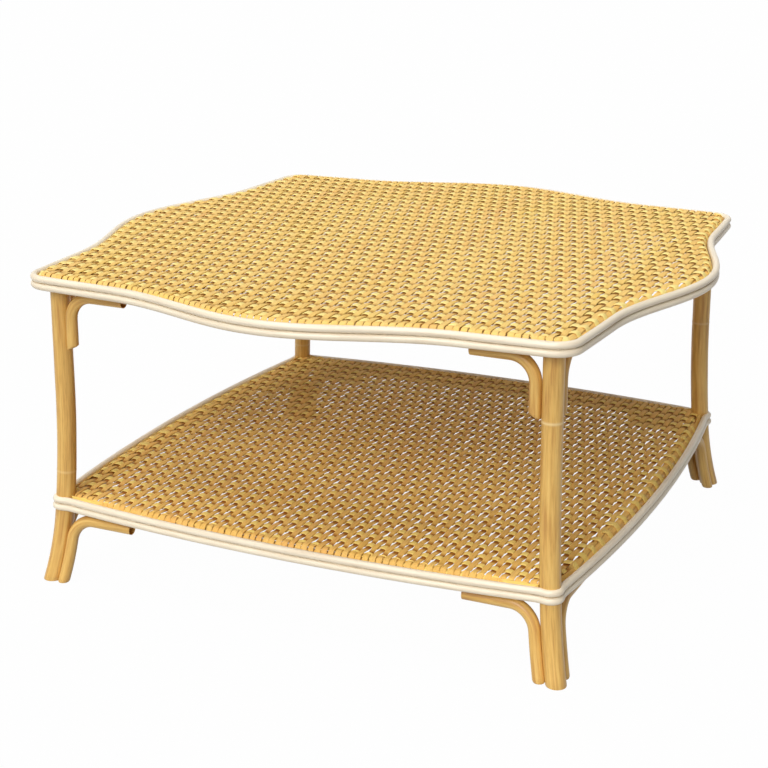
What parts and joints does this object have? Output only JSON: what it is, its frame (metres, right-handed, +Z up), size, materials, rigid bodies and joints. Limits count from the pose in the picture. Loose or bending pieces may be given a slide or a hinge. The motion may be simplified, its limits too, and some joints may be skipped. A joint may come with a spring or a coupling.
{
  "type": "coffee table",
  "caption": "Square coffee table of bent rattan poles with a scalloped woven cane top, a bowed woven shelf, paired cream rims and splayed feet with curved braces.",
  "frame": {"origin": "on the floor, under the middle of the table", "axes": "+Z up; -Y towards the front, which is the long near side at the picture's lower left; +X to its right"},
  "size_m": [0.9778, 0.9778, 0.48],
  "materials": {
    "pole": "satin lacquered rattan",
    "rim_rod": "satin cream rattan core",
    "weave": "satin woven cane",
    "screw": "plain"
  },
  "bodies": {
    "root": {"leg_front_left": "pole", "leg_front_right": "pole", "leg_back_right": "pole", "leg_back_left": "pole", "top_brace_front_left_x": "pole", "shelf_brace_front_left_x": "pole", "top_brace_front_left_y": "pole", "shelf_brace_front_left_y": "pole", "top_brace_front_right_x": "pole", "shelf_brace_front_right_x": "pole", "top_brace_front_right_y": "pole", "shelf_brace_front_right_y": "pole", "top_brace_back_right_x": "pole", "shelf_brace_back_right_x": "pole", "top_brace_back_right_y": "pole", "shelf_brace_back_right_y": "pole", "top_brace_back_left_x": "pole", "shelf_brace_back_left_x": "pole", "top_brace_back_left_y": "pole", "shelf_brace_back_left_y": "pole", "top_rail_back": "pole", "top_rail_left": "pole", "top_rail_front": "pole", "top_rail_right": "pole", "top_edge_pole_back": "pole", "top_edge_pole_left": "pole", "top_edge_pole_front": "pole", "top_edge_pole_right": "pole", "shelf_pole_back": "pole", "shelf_pole_left": "pole", "shelf_pole_front": "pole", "shelf_pole_right": "pole", "top_rim_rod_upper": "rim_rod", "top_rim_rod_lower": "rim_rod", "shelf_rim_rod_upper": "rim_rod", "shelf_rim_rod_lower": "rim_rod", "top_woven_panel": "weave", "shelf_woven_panel": "weave", "top_screw_front_left_x": "screw", "top_screw_front_left_y": "screw", "shelf_screw_front_left_x": "screw", "shelf_screw_front_left_y": "screw", "top_screw_front_right_x": "screw", "top_screw_front_right_y": "screw", "shelf_screw_front_right_x": "screw", "shelf_screw_front_right_y": "screw", "top_screw_back_right_x": "screw", "top_screw_back_right_y": "screw", "shelf_screw_back_right_x": "screw", "shelf_screw_back_right_y": "screw", "top_screw_back_left_x": "screw", "top_screw_back_left_y": "screw", "shelf_screw_back_left_x": "screw", "shelf_screw_back_left_y": "screw"}
  },
  "joints": []
}
